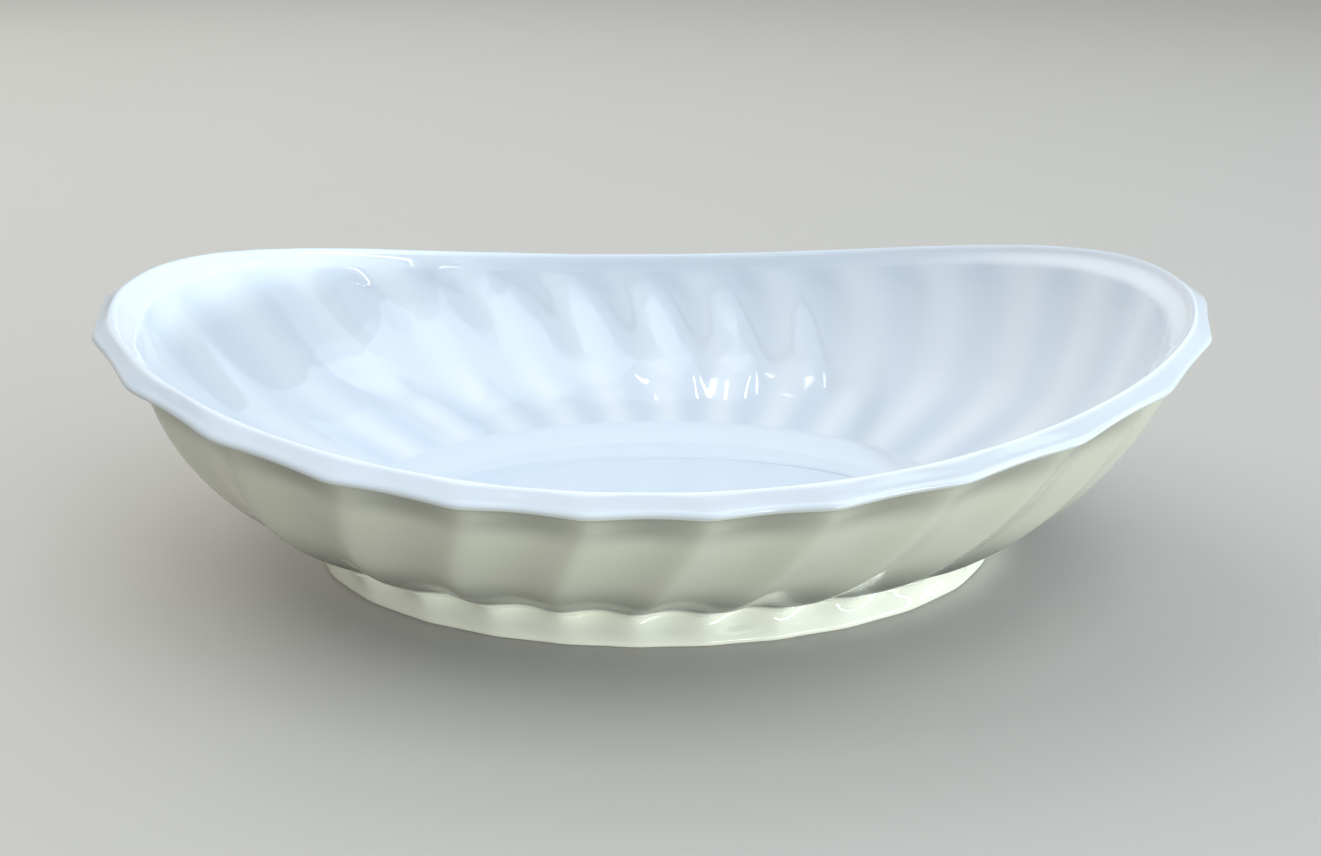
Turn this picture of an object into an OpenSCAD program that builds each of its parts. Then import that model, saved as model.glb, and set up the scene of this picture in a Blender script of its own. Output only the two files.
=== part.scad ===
// Oval footed serving bowl with swirled flutes, in glazed porcelain.
// +X runs along the bowl's length and +Z is up. The origin is the middle of
// the plane that the foot rests on.

/* [Bowl] */
// Length over the lip
bowl_length = 283; // [230:1:340]
// Width over the lip
bowl_width = 186; // [150:1:225]
// Height of the lip at the two ends
bowl_height = 75; // [60:1:92]
// How far the lip dips at the middle of each long side
lip_dip = 18; // [0:0.5:24]
// Thickness of the wall in the channels
wall = 3.6; // [2.8:0.1:4.6]
// Thickness of the base under the well
base_thickness = 4; // [3:0.1:6]

/* [Lip] */
// How far the lip stands out past the wall at the two ends
end_overhang = 5.6; // [2:0.1:8]
// How far the lip stands out past the wall at the middle of the long sides
side_overhang = 2; // [1:0.1:4]
// Drop from the crest of the lip to its rounded outer edge
lip_slope = 1.6; // [0.8:0.1:3]
// Thickness of the lip's rounded outer edge
lip_edge = 2; // [1:0.1:3]
// Height over which the lip's underside flows back into the wall
lip_root = 3.4; // [2:0.1:6]
// Depth of the scallops along the lip's outer edge
lip_scallop = 1.4; // [0:0.1:2.5]

/* [Flutes] */
// Number of flutes round the bowl
flutes = 27; // [16:1:36]
// Depth of the scoops between the ridges outside
flute_depth = 2.2; // [0.5:0.1:3]
// Depth of the channels inside
channel_depth = 1.3; // [0.5:0.1:2.5]
// Turn of the flutes between the foot and the lip, in degrees
flute_twist = 9.5; // [0:0.5:20]

/* [Well] */
// Length of the flat floor inside
well_length = 144; // [110:1:170]
// Width of the flat floor inside
well_width = 68; // [54:1:82]
// Length of the oval where the inside wall starts to rise
cove_length = 164; // [150:1:180]
// Width of the oval where the inside wall starts to rise
cove_width = 100; // [88:1:104]

/* [Foot] */
// Length of the seam where the foot joins the bowl
seam_length = 193; // [175:1:215]
// Width of the seam where the foot joins the bowl
seam_width = 111; // [98:1:125]
// Length of the foot at the table
foot_length = 187; // [165:1:210]
// Width of the foot at the table
foot_width = 116; // [100:1:130]
// Height of the seam above the table
foot_height = 8.5; // [6:0.1:11]
// Breadth of the foot ring, from its narrowest outline inwards
foot_band = 7; // [5:0.1:9]
// Height of the hollow under the base
foot_recess = 4.5; // [2:0.1:5.5]

/* [Hidden] */

// Half sizes of the plan ovals
lip_half = [bowl_length, bowl_width] / 2;
overhang = [end_overhang, side_overhang];
wall_top_half = lip_half - overhang;
seam_half = [seam_length, seam_width] / 2;
well_half = [well_length, well_width] / 2;
cove_half = [cove_length, cove_width] / 2;
foot_half = [foot_length, foot_width] / 2;
hollow_half = [for (k = [0, 1]) min(seam_half[k], foot_half[k]) - foot_band];

// Fullness of the ovals: 2 is an ellipse, and the lip is a little squarer
lip_fullness = 2.1;
foot_fullness = 2;
// The lip's dip follows the distance from the long axis to this power
dip_power = 2.2;
// Degrees by which columns crowd towards the ends, which evens out the flutes
flute_spacing = 6;
// Place of the flutes round the bowl, as a share of one flute
flute_phase = 0.64;
// Columns of points to one flute
flute_columns = 6;
columns = flutes * flute_columns;

// Height of the floor of the well: it clears the seam where the well reaches out over the foot
well_over_foot = max(well_half - hollow_half) > -base_thickness;
floor_z = (well_over_foot ? foot_height : foot_recess) + base_thickness;
// Distance from the crest of the lip down to the top of the outside wall
wall_drop = lip_slope + lip_edge + lip_root;
// Distance from the lip's outer edge to its inner one at the long sides
lip_width = side_overhang + wall + channel_depth / 2;
// Radius of the foot's lower edges
foot_round = 0.6;
// Depth below the table to which the foot is drawn before it is cut flat
cut_depth = 1;
// The foot's waist: share of its height, share of the way from the seam to the table edge
waist_height = 0.6;
waist_out = 0.4;
// Depth of the flutes at the waist and at the table edge, as shares of the full depth
waist_flutes = 0.6;
edge_flutes = 0.3;

// Outside wall from the seam to the lip: share of the way out, share of the way up
wall_curve = [[0, 0], [0.58, 0.25], [0.88, 0.66], [1, 1]];
outer_levels = [for (i = [1 : 7]) i / 7];
inner_levels = [1, 0.94, 0.87, 0.76, 0.64, 0.52, 0.4, 0.28, 0.16, 0.06];
// Levels between which the channels inside fade in under the lip and out at the well
channel_top = [1, 0.9];
channel_foot = [0.14, 0.48];
// Level up to which the inside wall leans in over the cove, and how far
cove_rise = 0.45;
cove_lean = [for (k = [0, 1]) max(0, seam_half[k] - cove_half[k] - wall)];
// Share of the way from the wall to the well of the ring between them, and its sag
slope_share = 0.5;
slope_sag = 0.6;
// Steps to the neighbouring points that give the wall's direction
column_step = 0.2;
level_step = 0.02;

// Lip from its underside over the crest: share of the overhang left below it,
// distance in from the outer edge, drop from the crest
lip_section = [
    [0.5, 0, lip_slope + lip_edge + lip_root * 0.3],
    [0, 0, lip_slope + lip_edge * 0.6],
    [0, lip_edge * 0.15, lip_slope + lip_edge * 0.2],
    [0, lip_width * 0.48, lip_slope * 0.48],
    [0, lip_width * 0.87, 0],
    [0, lip_width, lip_slope * 0.6],
];

function mix(a, b, share) = a + (b - a) * share;
function unit(v) = v / norm(v);
function ease(x) = let (c = min(1, max(0, x))) c * c * (3 - 2 * c);
function fade(v, from_to) = ease((v - from_to[0]) / (from_to[1] - from_to[0]));

// A cubic curve through four handles
function curve(h, v) =
    pow(1 - v, 3) * h[0] + 3 * pow(1 - v, 2) * v * h[1] + 3 * (1 - v) * v * v * h[2] + pow(v, 3) * h[3];

// Point of an oval, as [x, y]
function oval(angle, half, fullness) =
    let (
        c = cos(angle),
        s = sin(angle),
        r = pow(pow(abs(c), fullness) + pow(abs(s), fullness), -1 / fullness)
    )
    [half[0] * r * c, half[1] * r * s];

// Angle of a column of points, lagging behind the lip by the twist
function column_angle(i, rise) =
    let (u = (i / flute_columns + flute_phase) * 360 / flutes - flute_twist * (1 - rise))
    u + flute_spacing * sin(2 * u);

// 0 on a ridge and 1 in the middle of a scoop: the ridges are crisp
function scoop(i) = abs(sin(180 * i / flute_columns));
// 0 in line with a ridge and 1 between two of them: the channels are round
function swell(i) = (1 - cos(360 * i / flute_columns)) / 2;

// Height of the lip's crest at an angle
function crest_z(angle) =
    bowl_height - lip_dip * pow(abs(oval(angle, [1, 1], lip_fullness)[1]), dip_power);

// Point of the outside wall at a level from 0 at the seam to 1 under the lip
function wall_point(i, v, inset) =
    let (
        place = curve(wall_curve, v),
        angle = column_angle(i, place[1]),
        half = mix(seam_half, wall_top_half, place[0]) - inset,
        plan = oval(angle, half, mix(foot_fullness, lip_fullness, place[0])),
        top = crest_z(angle) - wall_drop
    )
    [plan[0], plan[1], mix(foot_height, top, place[1])];

// Outward direction of the wall, from neighbouring points of it
function wall_normal(i, v) =
    let (
        low = max(0, v - level_step),
        high = min(1, v + level_step),
        around = wall_point(i + column_step, v, [0, 0]) - wall_point(i - column_step, v, [0, 0]),
        along = wall_point(i, high, [0, 0]) - wall_point(i, low, [0, 0])
    )
    unit(cross(around, along));

function inner_point(i, v) =
    let (
        carved = (1 - swell(i)) * fade(v, channel_top) * fade(v, channel_foot),
        channel = channel_depth * (1 - carved),
        lean = cove_lean * fade(v, [cove_rise, 0])
    )
    wall_point(i, v, lean + [channel, channel]) - wall * wall_normal(i, v);

function lip_point(i, step) =
    let (
        angle = column_angle(i, 1),
        inset = step[1] + lip_scallop * scoop(i) * (1 - step[1] / lip_width),
        plan = oval(angle, lip_half - step[0] * overhang - [inset, inset], lip_fullness)
    )
    [plan[0], plan[1], crest_z(angle) - step[2]];

function flat_ring(half, z, depth) = [
    for (i = [0 : columns - 1])
        let (
            inset = depth * scoop(i),
            plan = oval(column_angle(i, 0), half - [inset, inset], foot_fullness)
        )
        [plan[0], plan[1], z]
];
function wall_ring(v) = [
    for (i = [0 : columns - 1])
        let (inset = flute_depth * scoop(i))
        wall_point(i, v, [inset, inset])
];
function lip_ring(step) = [for (i = [0 : columns - 1]) lip_point(i, step)];
function inner_ring(v) = [for (i = [0 : columns - 1]) inner_point(i, v)];

// Ring between the foot of the inside wall and the well
function slope_ring() =
    let (
        wall_foot = inner_ring(min(inner_levels)),
        well = flat_ring(well_half, floor_z, 0)
    )
    [for (i = [0 : columns - 1]) mix(wall_foot[i], well[i], slope_share) - [0, 0, slope_sag]];

// Faces between rings of points that run anticlockwise seen from above
function strip_faces(rings, closed) = [
    for (r = [0 : rings - (closed ? 1 : 2)], i = [0 : columns - 1], half = [0, 1])
        let (
            next = (r + 1) % rings * columns,
            here = r * columns,
            j = (i + 1) % columns
        )
        half == 0 ? [here + i, next + i, next + j] : [here + i, next + j, here + j]
];

module skin(rings) {
    last = (len(rings) - 1) * columns;
    polyhedron(
        points = [for (ring = rings) each ring],
        faces = concat(
            strip_faces(len(rings), false),
            [[for (i = [0 : columns - 1]) i]],
            [[for (i = [0 : columns - 1]) last + columns - 1 - i]]
        ),
        convexity = 6
    );
}

module hoop(rings) {
    polyhedron(
        points = [for (ring = rings) each ring],
        faces = strip_faces(len(rings), true),
        convexity = 6
    );
}

module bowl() {
    color("ghostwhite")
        skin(concat(
            [flat_ring(hollow_half, foot_recess, 0), flat_ring(hollow_half, foot_height, 0)],
            [flat_ring(seam_half, foot_height, flute_depth)],
            [for (v = outer_levels) wall_ring(v)],
            [for (step = lip_section) lip_ring(step)],
            [for (v = inner_levels) inner_ring(v)],
            [slope_ring()],
            [flat_ring(well_half, floor_z, 0)]
        ));
}

// Ring luted under the bowl: its top takes the bowl's seam, and it stands on z = 0
module foot_ring() {
    waist_half = mix(seam_half, foot_half, waist_out);
    bevel = 2 * [foot_round, foot_round];
    color("ivory")
        difference() {
            hoop([
                flat_ring(hollow_half, foot_height, 0),
                flat_ring(hollow_half, foot_recess, 0),
                flat_ring(hollow_half, foot_round, 0),
                flat_ring(hollow_half + bevel, -cut_depth, 0),
                flat_ring(foot_half - bevel, -cut_depth, flute_depth * edge_flutes),
                flat_ring(foot_half, foot_round, flute_depth * edge_flutes),
                flat_ring(waist_half, foot_height * waist_height, flute_depth * waist_flutes),
                flat_ring(seam_half, foot_height, flute_depth),
            ]);
            translate([-bowl_length, -bowl_width, -3 * cut_depth])
                cube([2 * bowl_length, 2 * bowl_width, 3 * cut_depth]);
        }
}

bowl();
foot_ring();
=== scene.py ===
"""Oval footed serving bowl with swirled flutes, in glazed porcelain, on a pale floor."""

import math

import bmesh
import bpy
from bpy.props import FloatProperty, FloatVectorProperty, IntProperty, PointerProperty
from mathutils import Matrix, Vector, noise


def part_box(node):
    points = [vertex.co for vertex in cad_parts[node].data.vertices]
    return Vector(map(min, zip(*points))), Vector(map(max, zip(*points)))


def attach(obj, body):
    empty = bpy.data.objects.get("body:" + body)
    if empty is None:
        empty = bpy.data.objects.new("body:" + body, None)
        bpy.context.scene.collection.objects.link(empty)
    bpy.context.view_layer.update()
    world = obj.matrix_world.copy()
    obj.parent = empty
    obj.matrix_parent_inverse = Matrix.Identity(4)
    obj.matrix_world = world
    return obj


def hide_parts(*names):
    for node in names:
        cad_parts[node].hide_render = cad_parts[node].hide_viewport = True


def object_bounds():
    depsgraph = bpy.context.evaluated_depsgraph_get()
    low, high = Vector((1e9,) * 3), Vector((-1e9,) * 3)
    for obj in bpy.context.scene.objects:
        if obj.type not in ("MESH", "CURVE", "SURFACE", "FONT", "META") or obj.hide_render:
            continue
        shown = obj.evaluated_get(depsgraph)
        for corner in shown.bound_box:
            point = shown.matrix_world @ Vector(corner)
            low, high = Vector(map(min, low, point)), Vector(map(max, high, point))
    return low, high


bl_info = {
    "name": "Fluted Oval Serving Bowl",
    "version": (1, 0, 0),
    "blender": (4, 5, 0),
    "location": "View3D > Sidebar > Serving Bowl",
    "description": "Potted oval bowl with swirled flutes, a dipping lip and a luted foot ring",
    "category": "Add Mesh",
}

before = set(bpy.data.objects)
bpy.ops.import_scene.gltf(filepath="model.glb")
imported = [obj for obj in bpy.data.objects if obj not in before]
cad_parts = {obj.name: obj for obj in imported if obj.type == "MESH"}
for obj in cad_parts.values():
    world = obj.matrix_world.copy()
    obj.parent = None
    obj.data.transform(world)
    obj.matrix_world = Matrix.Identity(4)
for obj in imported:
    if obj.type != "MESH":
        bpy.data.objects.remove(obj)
CAD_BOX = [list(corner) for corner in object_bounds()]
BOWL_LOW, BOWL_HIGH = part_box("bowl")
FOOT_LOW, FOOT_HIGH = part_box("foot_ring")

MM = 0.001
TURN = 2 * math.pi


def reach(low, high, axis):
    """The furthest that a box goes from the middle along an axis."""
    return max(-low[axis], high[axis])


# ---------------------------------------------------------------- settings


class ServingBowlSizes(bpy.types.PropertyGroup):
    lip_half_length: FloatProperty(
        name="Half length", description="From the middle to the lip at an end",
        default=reach(BOWL_LOW, BOWL_HIGH, 0), unit="LENGTH")
    lip_half_width: FloatProperty(
        name="Half width", description="From the middle to the lip at a side",
        default=reach(BOWL_LOW, BOWL_HIGH, 1), unit="LENGTH")
    height: FloatProperty(
        name="Height", description="Height of the lip at the two ends",
        default=BOWL_HIGH[2], unit="LENGTH")
    lip_dip: FloatProperty(
        name="Lip dip", description="How far the lip dips at the sides",
        default=18 * MM, unit="LENGTH")
    wall: FloatProperty(
        name="Wall", description="Thickness of the wall in the channels",
        default=3.6 * MM, unit="LENGTH")
    end_overhang: FloatProperty(
        name="End overhang", description="How far the lip stands out past the wall at an end",
        default=5.6 * MM, unit="LENGTH")
    side_overhang: FloatProperty(
        name="Side overhang", description="How far the lip stands out past the wall at a side",
        default=2 * MM, unit="LENGTH")
    wall_drop: FloatProperty(
        name="Lip height", description="From the crest of the lip down to the top of the outside wall",
        default=7 * MM, unit="LENGTH")
    flutes: IntProperty(
        name="Flutes", description="Number of flutes round the bowl", default=27, min=8)
    flute_depth: FloatProperty(
        name="Flute depth", description="Depth of the scoops outside",
        default=2.2 * MM, unit="LENGTH")
    channel_depth: FloatProperty(
        name="Channel depth", description="Depth of the channels inside",
        default=1.3 * MM, unit="LENGTH")
    twist: FloatProperty(
        name="Twist", description="Turn of the flutes between the foot and the lip",
        default=math.radians(9.5), subtype="ANGLE")
    seam_half_length: FloatProperty(
        name="Seam half length", description="From the middle to the foot's seam at an end",
        default=reach(FOOT_LOW, FOOT_HIGH, 0), unit="LENGTH")
    seam_half_width: FloatProperty(
        name="Seam half width", description="From the middle to the foot's seam at a side",
        default=55.5 * MM, unit="LENGTH")
    foot_half_length: FloatProperty(
        name="Foot half length", description="From the middle to the foot's edge at an end",
        default=93.5 * MM, unit="LENGTH")
    foot_half_width: FloatProperty(
        name="Foot half width", description="From the middle to the foot's edge at a side",
        default=reach(FOOT_LOW, FOOT_HIGH, 1), unit="LENGTH")
    seam_height: FloatProperty(
        name="Seam height", description="Height of the seam above the table",
        default=FOOT_HIGH[2], unit="LENGTH")
    recess: FloatProperty(
        name="Foot hollow", description="Height of the hollow under the base",
        default=BOWL_LOW[2], unit="LENGTH")
    foot_band: FloatProperty(
        name="Foot breadth", description="Breadth of the foot ring",
        default=7 * MM, unit="LENGTH")
    base: FloatProperty(
        name="Base", description="Thickness of the base under the well",
        default=4 * MM, unit="LENGTH")
    well_half_length: FloatProperty(
        name="Well half length", description="From the middle to the well's edge at an end",
        default=72 * MM, unit="LENGTH")
    well_half_width: FloatProperty(
        name="Well half width", description="From the middle to the well's edge at a side",
        default=34 * MM, unit="LENGTH")
    cove_half_length: FloatProperty(
        name="Cove half length", description="From the middle to the inside wall's foot at an end",
        default=82 * MM, unit="LENGTH")
    cove_half_width: FloatProperty(
        name="Cove half width", description="From the middle to the inside wall's foot at a side",
        default=50 * MM, unit="LENGTH")


class ServingBowlColours(bpy.types.PropertyGroup):
    body: FloatVectorProperty(
        name="Porcelain", description="Bluish white of the glazed porcelain",
        default=(0.80, 0.85, 0.90), subtype="COLOR", size=3, min=0, max=1)
    # Painted shade: this darker, warmer tone stands in for the shade that the outside of the bowl lies
    # in
    outside: FloatVectorProperty(
        name="Outside", description="Darker, warmer tone painted on the outside, not a glaze of its own",
        default=(0.51, 0.505, 0.41), subtype="COLOR", size=3, min=0, max=1)
    # Pooled glaze in the channels, the cove and the well, and painted shade on the lip's face and in the
    # well
    pooled_and_shaded: FloatVectorProperty(
        name="Pooled glaze", description="Where the glaze lies thick",
        default=(0.64, 0.72, 0.81), subtype="COLOR", size=3, min=0, max=1)
    shaded: FloatVectorProperty(
        name="Outside shade",
        description="Dark tone painted on outside, above the foot and under the lip",
        default=(0.08, 0.08, 0.075), subtype="COLOR", size=3, min=0, max=1)
    thin: FloatVectorProperty(
        name="Thin glaze", description="Where the glaze runs thin over a crest",
        default=(0.86, 0.87, 0.86), subtype="COLOR", size=3, min=0, max=1)
    # Painted light: the creamier tint stands in for the warmer light that falls on the foot ring
    foot: FloatVectorProperty(
        name="Foot", description="Creamier white of the foot ring",
        default=(0.87, 0.86, 0.70), subtype="COLOR", size=3, min=0, max=1)
    bare: FloatVectorProperty(
        name="Bare clay", description="Unglazed edge that the foot stands on",
        default=(0.62, 0.58, 0.50), subtype="COLOR", size=3, min=0, max=1)
    speck: FloatVectorProperty(
        name="Specks", description="Iron specks in the clay",
        default=(0.22, 0.20, 0.18), subtype="COLOR", size=3, min=0, max=1)
    floor: FloatVectorProperty(
        name="Floor", description="Plain pale floor",
        default=(0.64, 0.63, 0.60), subtype="COLOR", size=3, min=0, max=1)
    floor_cloud: FloatVectorProperty(
        name="Floor cloud", description="Slightly darker patches of the floor",
        default=(0.59, 0.58, 0.55), subtype="COLOR", size=3, min=0, max=1)
    room: FloatVectorProperty(
        name="Room", description="Light that comes evenly from all round",
        default=(0.93, 0.95, 0.95), subtype="COLOR", size=3, min=0, max=1)


class ServingBowlStage(bpy.types.PropertyGroup):
    distance: FloatProperty(
        name="Camera distance", description="From the camera to the point it looks at",
        default=0.357, unit="LENGTH")
    pitch: FloatProperty(
        name="Camera pitch", description="How far the camera looks down",
        default=math.radians(23.85), subtype="ANGLE")
    turn: FloatProperty(
        name="Camera turn", description="How far round the bowl the camera stands",
        default=math.radians(-1.0), subtype="ANGLE")
    lens: FloatProperty(
        name="Lens", description="Focal length of the camera in millimetres",
        default=35.65, unit="CAMERA")
    aim_side: FloatProperty(
        name="Aim to the side", description="How far along the bowl the camera looks",
        default=1.4 * MM, unit="LENGTH")
    aim_height: FloatProperty(
        name="Aim height", description="Height of the point that the camera looks at",
        default=33.1 * MM, unit="LENGTH")


# ---------------------------------------------------------------- shape


FLUTE_COLUMNS = 28
FLUTE_PHASE = 0.64
FLUTE_SPACING = math.radians(6)
LIP_FULLNESS = 2.1
FOOT_FULLNESS = 2.0
DIP_POWER = 2.2
WALL_CURVE = ((0, 0), (0.58, 0.25), (0.88, 0.66), (1, 1))
# Lip from the wall's top over the crest: share of the overhang that is left, then distance in
# from the outer edge, drop from the crest and depth of the scallops in millimetres
LIP_PATH = (
    (1.0, 0.0, 7.0, 2.2), (0.98, 0.0, 5.7, 2.15), (0.82, 0.0, 4.75, 2.05), (0.48, 0.0, 4.15, 1.8),
    (0.14, 0.0, 3.75, 1.5), (0.0, 0.0, 3.15, 1.4), (0.0, 0.2, 2.45, 1.3), (0.0, 0.8, 1.9, 1.1),
    (0.0, 2.1, 1.42, 1.05), (0.0, 4.0, 0.68, 0.75), (0.0, 5.7, 0.15, 0.25), (0.0, 6.5, 0.0, 0.0),
    (0.0, 7.1, 0.28, 0.0), (0.0, 7.4, 1.0, 0.0))
# Outside of the foot from the table up to the seam: share of the way out from the seam to the
# table edge, inset in millimetres, share of the height, depth of the flutes as a share of the wall's.
# A negative inset stands proud, as the bead of glaze round the seam does
FOOT_PATH = (
    (1.0, 2.0, 0.0, 0.12), (1.0, 1.4, 0.0, 0.12), (1.0, 0.7, 0.012, 0.13), (1.0, 0.22, 0.05, 0.14),
    (1.0, 0.0, 0.12, 0.15), (0.97, 0.05, 0.2, 0.17), (0.8, 0.45, 0.35, 0.25), (0.5, 0.75, 0.52, 0.42),
    (0.22, 0.6, 0.7, 0.68), (0.06, 0.3, 0.81, 0.9), (0.0, -0.1, 0.865, 1.0), (0.0, -0.85, 0.915, 1.0),
    (0.0, -1.15, 0.96, 1.0), (0.0, -1.05, 1.0, 1.0), (0.0, -0.7, 1.03, 1.0), (0.0, 0.0, 1.04, 1.0),
    (0.0, 0.6, 1.0, 1.0))
# Play left inside the frame's box for the ripple of the glaze
PLAY = 0.15 * MM
# Share by which the lip is narrower at the two ends
END_NARROWING = 0.28
# How soft the ridges between the scoops are: under the glaze, on the wall, and down at the seam
RIDGE_SOFT = 0.14
WALL_SOFT = 0.26
SEAM_SOFT = 0.5
# How far up the wall, as a share of its rows, the soft ridges of the seam reach
SEAM_SOFT_REACH = 0.25
RIB_POWER = 1.1
# Half the stretch of the wall over which its slope is measured
SLOPE_STEP = 0.02
# How far up the inside wall leans in to meet the cove
COVE_LEAN = 0.45
# Millimetres under the crest where a channel starts and where it has its full depth, each with
# what the flank of a rib adds
CHANNEL_START = (3, 3)
CHANNEL_FULL = (12, 6)
# Rows of the wall where a channel starts, with what the flank of a rib adds, and has its full depth
CHANNEL_FOOT = (0.2, 0.06)
CHANNEL_BODY = 0.72
# The shallow tail that runs on into the cove: its share of the depth and its rows
TAIL_SHARE = 0.12
TAIL_ROWS = (0.02, 0.12)

# Rows of points up the outside wall, down the shoulder and down the inside wall, and between the
# knots of a path
WALL_ROWS = 46
SHOULDER_ROWS = 12
INNER_ROWS = 60
PATH_STEPS = 3
# Rings of the base's underside, of the cove and of the well's floor, as shares of the way across
BASE_RINGS = (0.1, 0.3, 0.5, 0.7, 0.85, 0.95)
COVE_RINGS = (0, 0.1, 0.2, 0.32, 0.45, 0.6, 0.75, 0.88)
FLOOR_RINGS = (0.85, 0.65, 0.45, 0.25, 0.1, 0.03)
HOLLOW_FILLET = 0.5 * MM
# A tight ring just inside the seam's edge, and one just above it, keep the edge crisp
SEAM_BED = 0.3 * MM
SEAM_EDGE = 0.004
COVE_SAG = 0.9 * MM
# Edge of the well: millimetres in from it, and drop as a share of the step
WELL_STEP = 0.5 * MM
WELL_EDGE = (
    (0.0, 0.0), (0.25, 0.05), (0.45, 0.5), (0.7, 0.95), (1.2, 1.0), (2.4, 0.9), (3.2, 0.75),
    (4.0, 0.85), (6.0, 0.9))
# Inside of the foot above the standing edge: millimetres out from the hollow, and height
FOOT_INSIDE = ((0, 2.2), (0.05, 1.0), (0.3, 0.35), (0.8, 0.06), (1.3, 0))

# How far the pooled glaze shows in the cove and in the well, and outside, where the same numbers
# drive the painted shade, in the hollow's corner and at the seam
CORNER_SHADE = 0.6
SEAM_SHADE = 0.8
COVE_POOL = 0.6
# In the well the pooled colour is also painted shade that darkens the bowl's floor
WELL_POOL = 0.9
# Under the lip: least and most of the painted shade, on a ridge and in a scoop
LIP_SHADE = (0.2, 0.5)
# Where the outside wall's painted shade begins and is full, in shares of its rows
SHADE_TO_SEAM = (0.58, 0.03)
SHADE_TO_LIP = (0.86, 1)
# Pooled glaze inside: where the channels hold least glaze and how much more the low part holds
CHANNEL_POOL = 0.35
CHANNEL_POOL_LOW = 0.5
CHANNEL_POOL_ROWS = (0.1, 0.5)
# How thin the glaze is on the ribs and on the lip's arris
RIB_THIN = 0.4
ARRIS_THIN = 0.8
# Across the lip: where the painted shade on its face begins and is full, in from the edge and down
# from the crest, where the painted shade under it does, where the outside's painted shade does, and
# the middle and half breadth of its arris and of the painted dark line just inside its crest, all in
# millimetres
FACE_INSET = (6.2, 4.5)
FACE_DROP = (3.6, 3)
UNDER_SHADE_DROP = (3.2, 4.2)
OUTSIDE_SHADE_DROP = (1.6, 4.2)
ARRIS_DROP = (2.8, 1.4)
CREST_SHADE_LINE = (6.8, 0.5)
# The painted shade on the face, and how much of the outside's painted shade it takes
FACE_SHADE = 0.6
FACE_OUTSIDE_SHADE = 0.2
# Height of the wavy ripple that hand finishing leaves, its size, and where it starts above the seam
RIPPLE = 0.16 * MM
RIPPLE_SIZE = 22 * MM
RIPPLE_START = (1 * MM, 12 * MM)

GLAZE_IOR = 1.52
RELIEF = 0.22 * MM
RELIEF_STRENGTH = 0.6

PIECES = "serving_bowl_pieces"
MIDDLE = (0, 0, 0.05)
ROOM_STRENGTH = 0.44
FLOOR_SIZE = 6.0
# Name, place, point that it shines at, width, depth, watts and colour
LIGHTS = (
    ("window_light", (0.95, -0.65, 1.3), MIDDLE, 1.5, 2.7, 15.8, (0.76, 0.88, 1.0)),
    ("back_light", (0.15, 0.75, 1.25), MIDDLE, 0.8, 0.7, 2.0, (0.85, 0.93, 1.0)),
    ("left_light", (-1.0, 0.6, 1.25), MIDDLE, 1.8, 1.6, 13, (1.0, 0.95, 0.88)),
    ("window_pane", (0.85, -0.55, 1.2), (0.85, -0.55, 0), 1.4, 1.4, 7.5, (0.85, 0.93, 1.0)),
    ("window_pane", (0.0, -0.12, 1.2), (0.0, -0.12, 0), 0.3, 0.5, 0.55, (0.85, 0.93, 1.0)),
    ("front_light", (0.95, -1.1, 0.05), (0, 0, 0.03), 1.4, 0.08, 13, (0.88, 0.98, 1.0)),
    ("right_light", (1.4, -0.3, 0.05), (0, 0, 0.04), 1.0, 0.08, 3, (0.8, 0.92, 1.0)),
    ("lamp", (-0.23, 0.05, 1.1), (-0.23, 0.05, 0), 0.012, 0.15, 0.09, (1, 1, 1)),
    ("lamp", (-0.12, 0.05, 1.1), (-0.12, 0.05, 0), 0.012, 0.15, 0.09, (1, 1, 1)),
    ("lamp", (-0.045, 0.05, 1.1), (-0.045, 0.05, 0), 0.012, 0.15, 0.09, (1, 1, 1)))
# Lights that show no reflection, lights that are only a reflection, and lights that leave the
# floor dark
UNREFLECTED = {"left_light"}
REFLECTION_ONLY = {"window_pane"}
PORCELAIN_ONLY = {"front_light", "right_light"}


def mix(a, b, share):
    return a + (b - a) * share


def ease(x):
    x = min(1.0, max(0.0, x))
    return x * x * (3 - 2 * x)


def fade(x, start, end):
    return ease((x - start) / (end - start))


def peak(x, middle, breadth):
    """1 in the middle, falling straight to 0 at a breadth's distance on either side."""
    return max(0, 1 - abs(x - middle) / breadth)


def curve(handles, v):
    w = 1 - v
    weights = (w**3, 3 * w * w * v, 3 * w * v * v, v**3)
    return [sum(weight * h[k] for weight, h in zip(weights, handles)) for k in (0, 1)]


def smooth_path(knots, steps):
    """A Catmull-Rom curve through the knots, as points with any number of values."""
    ends = [knots[0]] + list(knots) + [knots[-1]]
    points = []
    for a, b, c, d in zip(ends, ends[1:], ends[2:], ends[3:]):
        for step in range(steps):
            t = step / steps
            points.append([
                0.5 * (
                    2 * q + (r - p) * t + (2 * p - 5 * q + 4 * r - s) * t**2
                    + (3 * q - p - 3 * r + s) * t**3)
                for p, q, r, s in zip(a, b, c, d)])
    points.append(list(knots[-1]))
    return points


def run_down(edge, top, below, t):
    """A point of the smooth run from the lip's inner edge down to the top of the inside wall."""
    drop = (top - edge).length
    start = Vector((0, 0, -drop))
    end = (below - top).normalized() * drop
    return (
        edge * (2 * t**3 - 3 * t**2 + 1) + start * (t**3 - 2 * t**2 + t)
        + top * (3 * t**2 - 2 * t**3) + end * (t**3 - t**2))


def oval(angle, half_length, half_width, fullness):
    c, s = math.cos(angle), math.sin(angle)
    r = (abs(c)**fullness + abs(s)**fullness)**(-1 / fullness)
    return half_length * r * c, half_width * r * s


def scoop(column, soft=RIDGE_SOFT):
    """0 on a ridge outside and 1 in the middle of a scoop: the glaze just softens the ridge."""
    wave = math.sin(math.pi * column / FLUTE_COLUMNS)
    return (math.sqrt(wave * wave + soft * soft) - soft) / (math.sqrt(1 + soft * soft) - soft)


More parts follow.
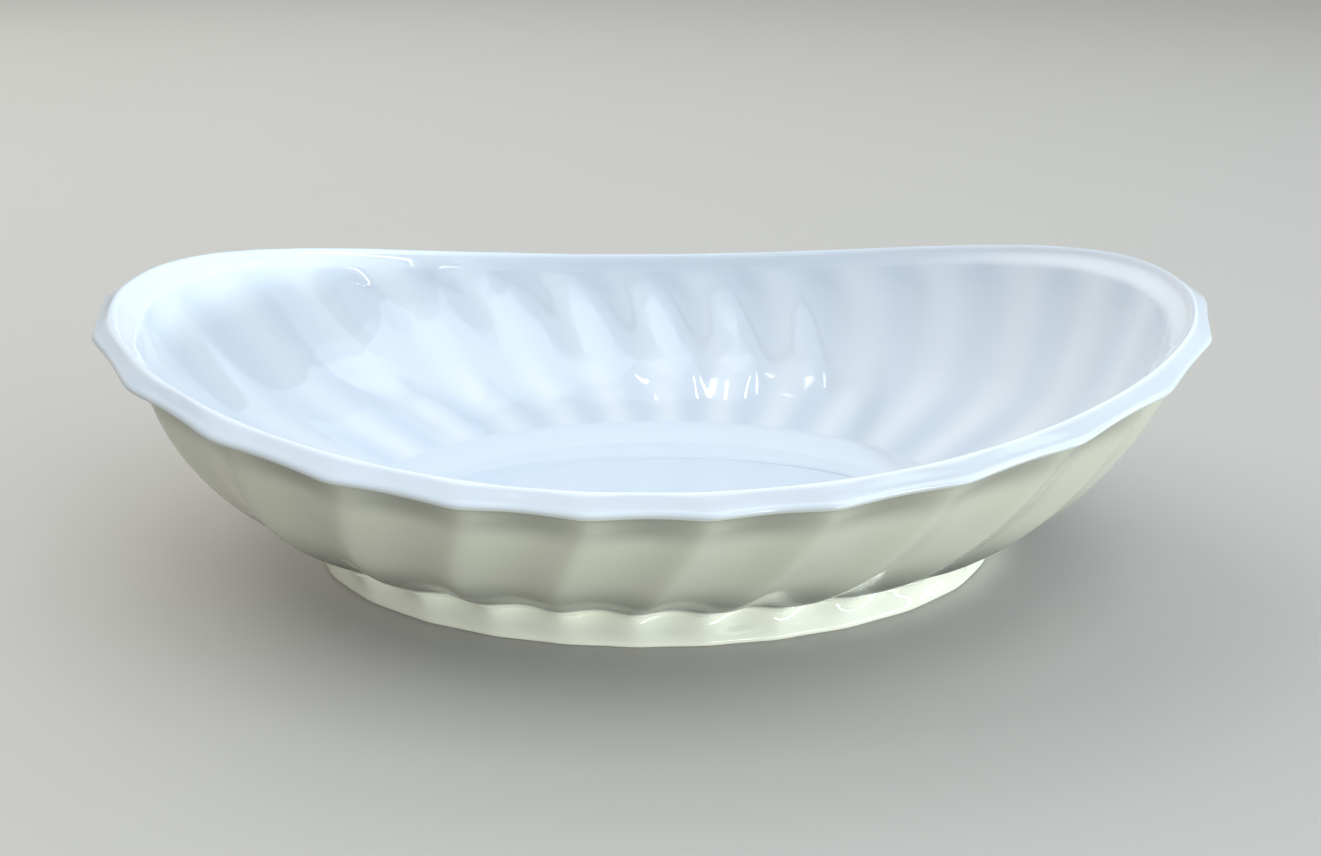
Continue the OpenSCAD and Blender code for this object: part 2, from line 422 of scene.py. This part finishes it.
def rib(column):
    """0 in the middle of a channel inside and 1 on the rib between two of them."""
    return ((1 - math.cos(TURN * column / FLUTE_COLUMNS)) / 2)**RIB_POWER


class BowlForm:
    """Works out the points of the bowl's surfaces from its sizes."""

    def __init__(self, sizes):
        self.s = sizes
        self.columns = sizes.flutes * FLUTE_COLUMNS
        self.lip_x = sizes.lip_half_length - PLAY
        self.lip_y = sizes.lip_half_width - PLAY
        self.floor_z = sizes.recess + sizes.base
        self.hollow_x = min(sizes.seam_half_length, sizes.foot_half_length) - sizes.foot_band
        self.hollow_y = min(sizes.seam_half_width, sizes.foot_half_width) - sizes.foot_band

    def angle(self, column, rise):
        u = (column / FLUTE_COLUMNS + FLUTE_PHASE) * TURN / self.s.flutes - self.s.twist * (1 - rise)
        return u + FLUTE_SPACING * math.sin(2 * u)

    def crest(self, angle):
        y = abs(oval(angle, 1, 1, LIP_FULLNESS)[1])
        return self.s.height - PLAY - self.s.lip_dip * y**DIP_POWER

    def wall_point(self, column, v, inset_x, inset_y):
        out, rise = curve(WALL_CURVE, v)
        angle = self.angle(column, rise)
        half_length = mix(self.s.seam_half_length, self.lip_x - self.s.end_overhang, out)
        half_width = mix(self.s.seam_half_width, self.lip_y - self.s.side_overhang, out)
        fullness = mix(FOOT_FULLNESS, LIP_FULLNESS, out)
        x, y = oval(angle, half_length - inset_x, half_width - inset_y, fullness)
        top = self.crest(angle) - self.s.wall_drop
        return Vector((x, y, mix(self.s.seam_height, top, rise)))

    def wall_normal(self, column, v):
        low, high = max(0, v - SLOPE_STEP), min(1, v + SLOPE_STEP)
        around = self.wall_point(column + 1, v, 0, 0) - self.wall_point(column - 1, v, 0, 0)
        along = self.wall_point(column, high, 0, 0) - self.wall_point(column, low, 0, 0)
        return around.cross(along).normalized()

    def outer_point(self, column, v):
        soft = mix(SEAM_SOFT, WALL_SOFT, fade(v, 0, SEAM_SOFT_REACH))
        inset = self.s.flute_depth * scoop(column, soft)
        return self.wall_point(column, v, inset, inset)

    def inner_point(self, column, v):
        """The inside wall before its channels are cut."""
        lean = fade(v, COVE_LEAN, 0)
        lean_x = lean * max(0, self.s.seam_half_length - self.s.cove_half_length - self.s.wall)
        lean_y = lean * max(0, self.s.seam_half_width - self.s.cove_half_width - self.s.wall)
        channel = self.s.channel_depth
        place = self.wall_point(column, v, channel + lean_x, channel + lean_y)
        return place - self.s.wall * self.wall_normal(column, v)

    def channelled(self, ring, normals, v):
        """Cuts the channels into a ring of the inside wall: arched at the top, run out at the foot."""
        points = []
        for column, (point, normal) in enumerate(zip(ring, normals)):
            ridge = rib(column)
            below = (self.crest(self.angle(column, 1)) - point.z) / MM
            start, full = (least + flank * ridge for least, flank in (CHANNEL_START, CHANNEL_FULL))
            top = fade(below, start, full)
            body = fade(v, CHANNEL_FOOT[0] + CHANNEL_FOOT[1] * ridge, CHANNEL_BODY)
            foot = (1 - TAIL_SHARE) * body + TAIL_SHARE * fade(v, *TAIL_ROWS)
            points.append(point + normal * self.s.channel_depth * (1 - ridge) * top * foot)
        return points

    def lip_point(self, column, under, inset, drop, scooped):
        angle = self.angle(column, 1)
        narrowed = inset * (1 - END_NARROWING * math.cos(angle)**2)
        inset = (narrowed + scooped * scoop(column, WALL_SOFT)) * MM
        half_length = self.lip_x - under * self.s.end_overhang - inset
        half_width = self.lip_y - under * self.s.side_overhang - inset
        x, y = oval(angle, half_length, half_width, LIP_FULLNESS)
        return Vector((x, y, self.crest(angle) - drop * MM))

    def flat_point(self, column, half_length, half_width, z, depth):
        inset = depth * scoop(column, SEAM_SOFT)
        x, y = oval(self.angle(column, 0), half_length - inset, half_width - inset, FOOT_FULLNESS)
        return Vector((x, y, z))

    def ring(self, point, *values):
        return [point(column, *values) for column in range(self.columns)]


def skin(name, rings, closed_loop=False):
    """A closed mesh through rings of points, capped flat at both ends unless they join."""
    mesh = bpy.data.meshes.new(name)
    bm = bmesh.new()
    rows = [[bm.verts.new(point) for point in ring] for ring in rings]
    pairs = list(zip(rows, rows[1:] + rows[:1])) if closed_loop else list(zip(rows, rows[1:]))
    for low, high in pairs:
        count = len(low)
        for i in range(count):
            j = (i + 1) % count
            bm.faces.new((low[i], low[j], high[j], high[i]))
    if not closed_loop:
        bm.faces.new(list(reversed(rows[0])))
        bm.faces.new(rows[-1])
    bmesh.ops.recalc_face_normals(bm, faces=bm.faces)
    for face in bm.faces:
        face.smooth = True
    bm.to_mesh(mesh)
    bm.free()
    piece = bpy.data.objects.new(name, mesh)
    bpy.context.scene.collection.objects.link(piece)
    return piece


# ---------------------------------------------------------------- materials


class Socket:
    """A node's output with Python's operators, each of which adds a Math node."""

    def __init__(self, shader, output):
        self.shader = shader
        self.output = output

    def _math(self, operation, *values):
        return self.shader.node("ShaderNodeMath", {"operation": operation}, dict(enumerate(values)))

    def __add__(self, other):
        return self._math("ADD", self, other)

    __radd__ = __add__

    def __sub__(self, other):
        return self._math("SUBTRACT", self, other)

    def __rsub__(self, other):
        return self._math("SUBTRACT", other, self)

    def __mul__(self, other):
        return self._math("MULTIPLY", self, other)

    __rmul__ = __mul__

    def span(self, low, high):
        """0 below low and 1 above high, with a straight run between."""
        return self.shader.node(
            "ShaderNodeMapRange", {"clamp": True}, {"Value": self, "From Min": low, "From Max": high})


class Shader:
    """A material built as expressions."""

    def __init__(self, name):
        self.material = bpy.data.materials.new(name)
        self.material.use_nodes = True
        self.tree = self.material.node_tree
        self.principled = self.tree.nodes["Principled BSDF"]

    def node(self, kind, settings=None, values=None, output=0):
        made = self.tree.nodes.new(kind)
        for key, value in (settings or {}).items():
            setattr(made, key, value)
        for key, value in (values or {}).items():
            self.feed(made.inputs[key], value)
        return Socket(self, made.outputs[output])

    def feed(self, socket, value):
        if isinstance(value, Socket):
            self.tree.links.new(value.output, socket)
        elif socket.type == "RGBA" and len(value) == 3:
            socket.default_value = (*value, 1)
        else:
            socket.default_value = value

    def set(self, **values):
        for name, value in values.items():
            self.feed(self.principled.inputs[name.replace("_", " ")], value)

    def place(self):
        return self.node("ShaderNodeTexCoord", output="Object")

    def split(self, vector, axis):
        return self.node("ShaderNodeSeparateXYZ", values={"Vector": vector}, output=axis)

    def noise(self, scale, detail=2.0, rough=0.5):
        return self.node(
            "ShaderNodeTexNoise",
            values={"Vector": self.place(), "Scale": scale, "Detail": detail, "Roughness": rough})

    def blend(self, factor, low, high):
        """A colour between low and high: inputs 6 and 7 and output 2 are the node's colours."""
        return self.node(
            "ShaderNodeMix", {"data_type": "RGBA"},
            {"Factor": factor, 6: low, 7: high}, output=2)

    def attribute(self, name):
        return self.node("ShaderNodeAttribute", {"attribute_name": name}, output="Fac")

    def bump(self, height, distance, strength):
        return self.node(
            "ShaderNodeBump", values={"Height": height, "Distance": distance, "Strength": strength})


def specks(shader, scale, share=0.3):
    """1 on small specks, kept on a share of the surface."""
    cells = shader.node(
        "ShaderNodeTexVoronoi", {"feature": "F1"},
        {"Vector": shader.place(), "Scale": scale})
    kept = shader.noise(scale * 0.37).span(1 - share - 0.01, 1 - share)
    return (1 - cells.span(0.04, 0.07)) * kept


def glaze_material(colours):
    shader = Shader("porcelain_glaze")
    cloud = shader.noise(18, 3)
    # How far the pooled colour shows: pooled glaze inside, painted shade outside and on the lip's face,
    # both in the well
    thick = shader.attribute("glaze_pool_and_shade")
    thin = shader.attribute("glaze_thin")
    outside = shader.attribute("outside")
    # Painted shade: outside, the darker, warmer colour and the dark pooled colour
    colour = shader.blend(outside, colours.body, colours.outside)
    pooled_and_shaded = shader.blend(outside, colours.pooled_and_shaded, colours.shaded)
    colour = shader.blend(thick * (0.85 + 0.3 * cloud), colour, pooled_and_shaded)
    colour = shader.blend(thin * 0.12, colour, colours.thin)
    colour = shader.blend(specks(shader, 70) * 0.7, colour, colours.speck)
    peel = shader.noise(260, 2)
    sag = shader.noise(45, 1)
    shader.set(
        Base_Color=colour,
        Roughness=0.03 + 0.05 * shader.noise(90, 4).span(0.35, 0.75) + 0.3 * outside * thick,
        IOR=GLAZE_IOR,
        Normal=shader.bump(0.12 * peel + sag, RELIEF, RELIEF_STRENGTH))
    shader.principled.inputs["Subsurface Weight"].default_value = 0.12
    shader.principled.inputs["Subsurface Radius"].default_value = (1.0, 0.9, 0.8)
    shader.principled.inputs["Subsurface Scale"].default_value = 0.003
    return shader.material


def foot_material(colours):
    shader = Shader("foot_glaze")
    height = shader.split(shader.place(), "Z")
    cloud = shader.noise(30, 3)
    bare = 1 - (height + 0.7 * MM * shader.noise(120, 3)).span(0.7 * MM, 1.1 * MM)
    # The creamier foot colour is painted light, mixed in patches towards the porcelain's white
    colour = shader.blend(cloud * 0.2, colours.foot, colours.body)
    colour = shader.blend(bare, colour, colours.bare)
    colour = shader.blend(specks(shader, 80) * 0.7, colour, colours.speck)
    grit = shader.noise(1800, 3)
    sag = shader.noise(60, 1)
    shader.set(
        Base_Color=colour,
        Roughness=0.06 + 0.75 * bare,
        IOR=GLAZE_IOR,
        Normal=shader.bump(grit * bare * 0.25 + sag, RELIEF, RELIEF_STRENGTH))
    return shader.material


def floor_material(colours):
    shader = Shader("pale_floor")
    grain = shader.noise(35, 4)
    shader.set(
        Base_Color=shader.blend(grain * 0.12, colours.floor, colours.floor_cloud),
        Roughness=0.62 + 0.1 * shader.noise(12, 2),
        Normal=shader.bump(shader.noise(900, 3), 0.1 * MM, 0.3))
    return shader.material


# ---------------------------------------------------------------- pieces


def point_attribute(piece, name, values):
    layer = piece.data.attributes.new(name, "FLOAT", "POINT")
    layer.data.foreach_set("value", values)


def ripple(piece, depth, size, low, high):
    """Moves the faces in and out a little, as hand finishing leaves them, from low up to high."""
    mesh = piece.data
    normals = [v.normal.copy() for v in mesh.vertices]
    for vertex, normal in zip(mesh.vertices, normals):
        held = fade(vertex.co.z, low, high)
        wave = noise.noise(vertex.co / size) + 0.5 * noise.noise(vertex.co / size * 2.3)
        vertex.co += normal * depth * wave * held
    mesh.update()


def finish_piece(piece, node, material):
    piece.data.materials.append(material)
    bpy.data.collections[PIECES].objects.link(piece)
    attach(piece, "root")
    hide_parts(node)


class SERVINGBOWL_OT_bowl(bpy.types.Operator):
    """Adds the potted bowl: base, fluted wall, rolled lip, channels, cove and well"""

    bl_idname = "serving_bowl.bowl"
    bl_label = "Fluted Bowl"

    def execute(self, context):
        s = context.scene.serving_bowl_sizes
        form = BowlForm(s)
        hollow_x, hollow_y = form.hollow_x, form.hollow_y
        rings, pool_and_shade, thin, out = [], [], [], []

        def add(ring, pooled_and_shaded=0.0, thinned=0.0, outer=0.0):
            rings.append(ring)
            out.extend([outer] * form.columns)
            for column in range(form.columns):
                pool_and_shade.append(pooled_and_shaded(column) if callable(pooled_and_shaded) else pooled_and_shaded)
                thin.append(thinned(column) if callable(thinned) else thinned)

        for share in BASE_RINGS:
            add(form.ring(form.flat_point, hollow_x * share, hollow_y * share, s.recess, 0), outer=1)
        # Painted shade in the corner of the hollow under the base and along the seam
        add(
            form.ring(form.flat_point, hollow_x - HOLLOW_FILLET, hollow_y - HOLLOW_FILLET, s.recess, 0),
            CORNER_SHADE, outer=1)
        add(
            form.ring(form.flat_point, hollow_x, hollow_y, s.recess + HOLLOW_FILLET, 0),
            CORNER_SHADE, outer=1)
        add(form.ring(form.flat_point, hollow_x, hollow_y, s.seam_height, 0), outer=1)
        add(
            form.ring(
                form.flat_point, s.seam_half_length - SEAM_BED, s.seam_half_width - SEAM_BED,
                s.seam_height, s.flute_depth),
            SEAM_SHADE, outer=1)

        # The outside wall: painted shade that darkens it towards the seam, and under the lip more in the
        # scoops than on the ridges
        for v in [0, SEAM_EDGE] + [row / WALL_ROWS for row in range(1, WALL_ROWS)]:
            low, high = fade(v, *SHADE_TO_SEAM), fade(v, *SHADE_TO_LIP)
            add(
                form.ring(form.outer_point, v),
                lambda c: max(low, high * mix(*LIP_SHADE, scoop(c))), outer=1)

        # The lip: painted shade on its face, a painted dark line just inside its crest, painted shade
        # under it, thin glaze on its arris and the outside's painted shade over its lower band
        for under, inset, drop, scooped in smooth_path(LIP_PATH, PATH_STEPS):
            face = fade(inset, *FACE_INSET)
            slope = FACE_SHADE * face * fade(drop, *FACE_DROP) + peak(inset, *CREST_SHADE_LINE)
            add(
                form.ring(form.lip_point, under, inset, drop, scooped),
                lambda c: slope + fade(drop, *UNDER_SHADE_DROP) * mix(*LIP_SHADE, scoop(c)),
                ARRIS_THIN * peak(drop, *ARRIS_DROP),
                max(FACE_OUTSIDE_SHADE * face, fade(drop, *OUTSIDE_SHADE_DROP)))

        top = form.ring(form.inner_point, 1)
        below = form.ring(form.inner_point, 0.97)
        lip_edge = rings[-1]
        normals = form.ring(form.wall_normal, 1)
        for row in range(1, SHOULDER_ROWS):
            t = row / SHOULDER_ROWS
            add(form.channelled([run_down(*ends, t) for ends in zip(lip_edge, top, below)], normals, 1))

        for row in range(INNER_ROWS, 1, -1):
            v = row / INNER_ROWS
            deep = CHANNEL_POOL + CHANNEL_POOL_LOW * (1 - fade(v, *CHANNEL_POOL_ROWS))
            ring = form.channelled(form.ring(form.inner_point, v), form.ring(form.wall_normal, v), v)
            add(ring, lambda c: deep * (1 - rib(c)), lambda c: RIB_THIN * rib(c))

        last = form.ring(form.inner_point, 1 / INNER_ROWS)
        well = form.ring(form.flat_point, s.well_half_length, s.well_half_width, form.floor_z, 0)
        for share in COVE_RINGS:
            sag = COVE_SAG * math.sin(math.pi * share)
            add([mix(a, b, share) - Vector((0, 0, sag)) for a, b in zip(last, well)], COVE_POOL)
        for inward, drop in WELL_EDGE:
            add(
                form.ring(
                    form.flat_point, s.well_half_length - inward * MM, s.well_half_width - inward * MM,
                    form.floor_z - drop * WELL_STEP, 0),
                WELL_POOL)
        innermost = rings[-1]
        for share in FLOOR_RINGS:
            add([Vector((point.x * share, point.y * share, point.z)) for point in innermost], WELL_POOL)

        piece = skin("bowl_body", rings)
        point_attribute(piece, "glaze_pool_and_shade", pool_and_shade)
        point_attribute(piece, "glaze_thin", thin)
        point_attribute(piece, "outside", out)
        start, full = (s.seam_height + above for above in RIPPLE_START)
        ripple(piece, RIPPLE, RIPPLE_SIZE, start, full)
        finish_piece(piece, "bowl", glaze_material(context.scene.serving_bowl_colours))
        return {"FINISHED"}


class SERVINGBOWL_OT_foot(bpy.types.Operator):
    """Adds the foot ring luted under the bowl, with its bare standing edge"""

    bl_idname = "serving_bowl.foot"
    bl_label = "Foot Ring"

    def execute(self, context):
        s = context.scene.serving_bowl_sizes
        form = BowlForm(s)
        hollow_x, hollow_y = form.hollow_x, form.hollow_y
        rings = []

        def inside(inset, z):
            rings.append(form.ring(form.flat_point, hollow_x + inset * MM, hollow_y + inset * MM, z, 0))

        top = s.seam_height
        inside(0, top)
        inside(0, s.recess)
        for inset, height in FOOT_INSIDE:
            inside(inset, height * MM)
        for out, inset, share, depth in smooth_path(FOOT_PATH, PATH_STEPS):
            rings.append(form.ring(
                form.flat_point,
                mix(s.seam_half_length, s.foot_half_length, out) - inset * MM,
                mix(s.seam_half_width, s.foot_half_width, out) - inset * MM,
                max(0, share) * top, s.flute_depth * depth))
        piece = skin("foot_ring_body", rings, closed_loop=True)
        finish_piece(piece, "foot_ring", foot_material(context.scene.serving_bowl_colours))
        return {"FINISHED"}


# ---------------------------------------------------------------- stage


def aim(thing, place, target):
    thing.location = place
    thing.rotation_euler = (Vector(target) - Vector(place)).to_track_quat("-Z", "Y").to_euler()


def soft_light(name, place, target, width, depth, watts, colour, porcelain):
    data = bpy.data.lights.new(name, "AREA")
    data.shape = "RECTANGLE"
    data.size = width
    data.size_y = depth
    data.energy = watts
    data.color = colour
    lamp = bpy.data.objects.new(name, data)
    bpy.context.scene.collection.objects.link(lamp)
    if name in PORCELAIN_ONLY:
        lamp.light_linking.receiver_collection = porcelain
    lamp.visible_glossy = name not in UNREFLECTED
    lamp.visible_diffuse = name not in REFLECTION_ONLY
    aim(lamp, place, target)


class SERVINGBOWL_OT_stage(bpy.types.Operator):
    """Adds the pale floor, the soft lights and the camera"""

    bl_idname = "serving_bowl.stage"
    bl_label = "Stage"

    def execute(self, context):
        scene = context.scene
        settings = scene.serving_bowl_stage
        floor_mesh = bpy.data.meshes.new("floor")
        bm = bmesh.new()
        bmesh.ops.create_grid(bm, x_segments=8, y_segments=8, size=FLOOR_SIZE)
        bm.to_mesh(floor_mesh)
        bm.free()
        floor = bpy.data.objects.new("floor", floor_mesh)
        scene.collection.objects.link(floor)
        floor.location.z = CAD_BOX[0][2]
        floor_mesh.materials.append(floor_material(scene.serving_bowl_colours))

        world = bpy.data.worlds.new("studio")
        world.use_nodes = True
        background = world.node_tree.nodes["Background"]
        background.inputs["Color"].default_value = (*scene.serving_bowl_colours.room, 1)
        background.inputs["Strength"].default_value = ROOM_STRENGTH
        scene.world = world
        scene.view_settings.view_transform = "Standard"

        porcelain = bpy.data.collections.new(PIECES)
        for light in LIGHTS:
            soft_light(*light, porcelain)

        middle = Vector((settings.aim_side, 0, settings.aim_height))
        back = Vector((
            math.sin(settings.turn) * math.cos(settings.pitch),
            -math.cos(settings.turn) * math.cos(settings.pitch),
            math.sin(settings.pitch)))
        data = bpy.data.cameras.new("camera")
        data.lens = settings.lens
        data.sensor_width = 36
        data.clip_start = 0.01
        camera = bpy.data.objects.new("camera", data)
        scene.collection.objects.link(camera)
        aim(camera, middle + back * settings.distance, middle)
        scene.camera = camera
        return {"FINISHED"}


class SERVINGBOWL_PT_panel(bpy.types.Panel):
    """Lists the bowl's pieces and its stage"""

    bl_idname = "SERVINGBOWL_PT_panel"
    bl_label = "Serving Bowl"
    bl_space_type = "VIEW_3D"
    bl_region_type = "UI"
    bl_category = "Serving Bowl"

    def draw(self, context):
        for operator in (SERVINGBOWL_OT_bowl, SERVINGBOWL_OT_foot, SERVINGBOWL_OT_stage):
            self.layout.operator(operator.bl_idname)


CLASSES = (
    ServingBowlSizes,
    ServingBowlColours,
    ServingBowlStage,
    SERVINGBOWL_OT_bowl,
    SERVINGBOWL_OT_foot,
    SERVINGBOWL_OT_stage,
    SERVINGBOWL_PT_panel,
)


def register():
    for cls in CLASSES:
        bpy.utils.register_class(cls)
    bpy.types.Scene.serving_bowl_sizes = PointerProperty(type=ServingBowlSizes)
    bpy.types.Scene.serving_bowl_colours = PointerProperty(type=ServingBowlColours)
    bpy.types.Scene.serving_bowl_stage = PointerProperty(type=ServingBowlStage)


def unregister():
    del bpy.types.Scene.serving_bowl_stage
    del bpy.types.Scene.serving_bowl_colours
    del bpy.types.Scene.serving_bowl_sizes
    for cls in reversed(CLASSES):
        bpy.utils.unregister_class(cls)


def main():
    register()
    bpy.ops.serving_bowl.stage()
    bpy.ops.serving_bowl.bowl()
    bpy.ops.serving_bowl.foot()


if __name__ == "__main__":
    main()
